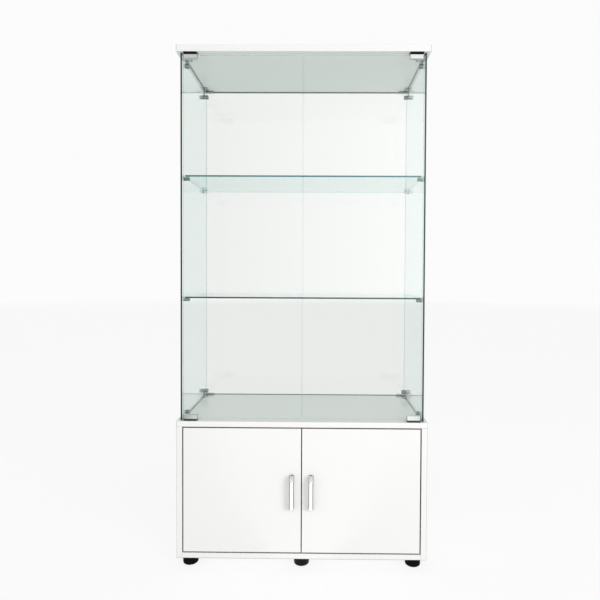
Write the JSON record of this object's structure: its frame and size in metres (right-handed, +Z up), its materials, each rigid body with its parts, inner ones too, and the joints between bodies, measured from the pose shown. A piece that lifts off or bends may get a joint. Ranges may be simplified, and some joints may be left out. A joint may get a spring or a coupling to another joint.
{
  "type": "display case",
  "caption": "Tall white display case: frameless glass doors on chrome pivot clamps, glass sides and shelves, above a cupboard with flush board doors, bow handles and round black feet.",
  "frame": {"origin": "on the floor, at the centre of the bounding box's base: midway across the width, and midway between the fronts of the handles and the rear edges of the boards", "axes": "+X to the right of someone facing the doors, +Y to the back, +Z up"},
  "size_m": [0.8, 0.389, 1.656],
  "materials": {
    "white_melamine_board": "smooth white melamine facing with a low gloss, on particle board",
    "white_hardboard": "thin hardboard, painted white",
    "clear_float_glass": "clear float glass with ground and polished green edges",
    "black_polypropylene": "moulded black plastic",
    "black_nylon": "moulded black nylon",
    "satin_nickel": "satin nickel plate on a zinc casting",
    "bright_chrome": "bright chrome plate",
    "clear_vinyl": "soft clear vinyl",
    "beech_dowel": "plain turned beech",
    "zinc_casting": "bare die-cast zinc",
    "white_abs": "moulded white plastic",
    "zinc_plated_steel": "bright zinc plate"
  },
  "bodies": {
    "carcass": {"back_glass": "clear_float_glass", "base_back_panel": "white_hardboard", "base_bottom_board": "white_melamine_board", "base_cam_bolts": "zinc_plated_steel", "base_cam_discs": "zinc_casting", "base_dowels": "beech_dowel", "base_side_left": "white_melamine_board", "base_side_right": "white_melamine_board", "base_top_board": "white_melamine_board", "board_screws": "zinc_plated_steel", "foot_front_left": "black_polypropylene", "foot_front_middle": "black_polypropylene", "foot_front_right": "black_polypropylene", "foot_rear_left": "black_polypropylene", "foot_rear_middle": "black_polypropylene", "foot_rear_right": "black_polypropylene", "foot_screws": "zinc_plated_steel", "front_clips": "bright_chrome", "glass_shelf_lower": "clear_float_glass", "glass_shelf_upper": "clear_float_glass", "hinge_arms": "zinc_plated_steel", "hinge_plate_screws": "zinc_plated_steel", "hinge_plates": "zinc_plated_steel", "magnet_catches": "white_abs", "outside_caps": "bright_chrome", "pane_bolts": "bright_chrome", "pivot_plates": "black_nylon", "rear_brackets": "bright_chrome", "shelf_pads": "clear_vinyl", "shelf_pegs_lower": "bright_chrome", "shelf_pegs_upper": "bright_chrome", "side_glass_left": "clear_float_glass", "side_glass_right": "clear_float_glass", "top_board": "white_melamine_board"},
    "glass_leaf_left": {"glass_door_left": "clear_float_glass", "hinge_clamp_bottom_left": "bright_chrome", "hinge_clamp_top_left": "bright_chrome", "hinge_grub_screws_left": "zinc_plated_steel", "hinge_pads_left": "clear_vinyl", "hinge_pins_left": "zinc_plated_steel"},
    "glass_leaf_right": {"glass_door_right": "clear_float_glass", "hinge_clamp_bottom_right": "bright_chrome", "hinge_clamp_top_right": "bright_chrome", "hinge_grub_screws_right": "zinc_plated_steel", "hinge_pads_right": "clear_vinyl", "hinge_pins_right": "zinc_plated_steel"},
    "board_leaf_left": {"board_door_left": "white_melamine_board", "bow_handle_left": "satin_nickel", "handle_screws_left": "zinc_plated_steel", "hinge_cup_pins_left": "zinc_plated_steel", "hinge_cup_screws_left": "zinc_plated_steel", "hinge_cups_left": "zinc_plated_steel", "strike_plate_left": "zinc_plated_steel"},
    "board_leaf_right": {"board_door_right": "white_melamine_board", "bow_handle_right": "satin_nickel", "handle_screws_right": "zinc_plated_steel", "hinge_cup_pins_right": "zinc_plated_steel", "hinge_cup_screws_right": "zinc_plated_steel", "hinge_cups_right": "zinc_plated_steel", "strike_plate_right": "zinc_plated_steel"}
  },
  "joints": [
    {"name": "glass_door_left_swing", "type": "hinge", "parent": "carcass", "child": "glass_leaf_left", "pos_m": [-0.366, -0.156, 1.052], "axis": [0, 0, -1], "range_deg": [0, 110]},
    {"name": "board_door_left_swing", "type": "hinge", "parent": "carcass", "child": "board_leaf_left", "pos_m": [-0.3625, -0.1633, 0.25], "axis": [0, 0, -1], "range_deg": [0, 95]},
    {"name": "glass_door_right_swing", "type": "hinge", "parent": "carcass", "child": "glass_leaf_right", "pos_m": [0.366, -0.156, 1.052], "axis": [0, 0, 1], "range_deg": [0, 110]},
    {"name": "board_door_right_swing", "type": "hinge", "parent": "carcass", "child": "board_leaf_right", "pos_m": [0.3625, -0.1633, 0.25], "axis": [0, 0, 1], "range_deg": [0, 95]}
  ]
}
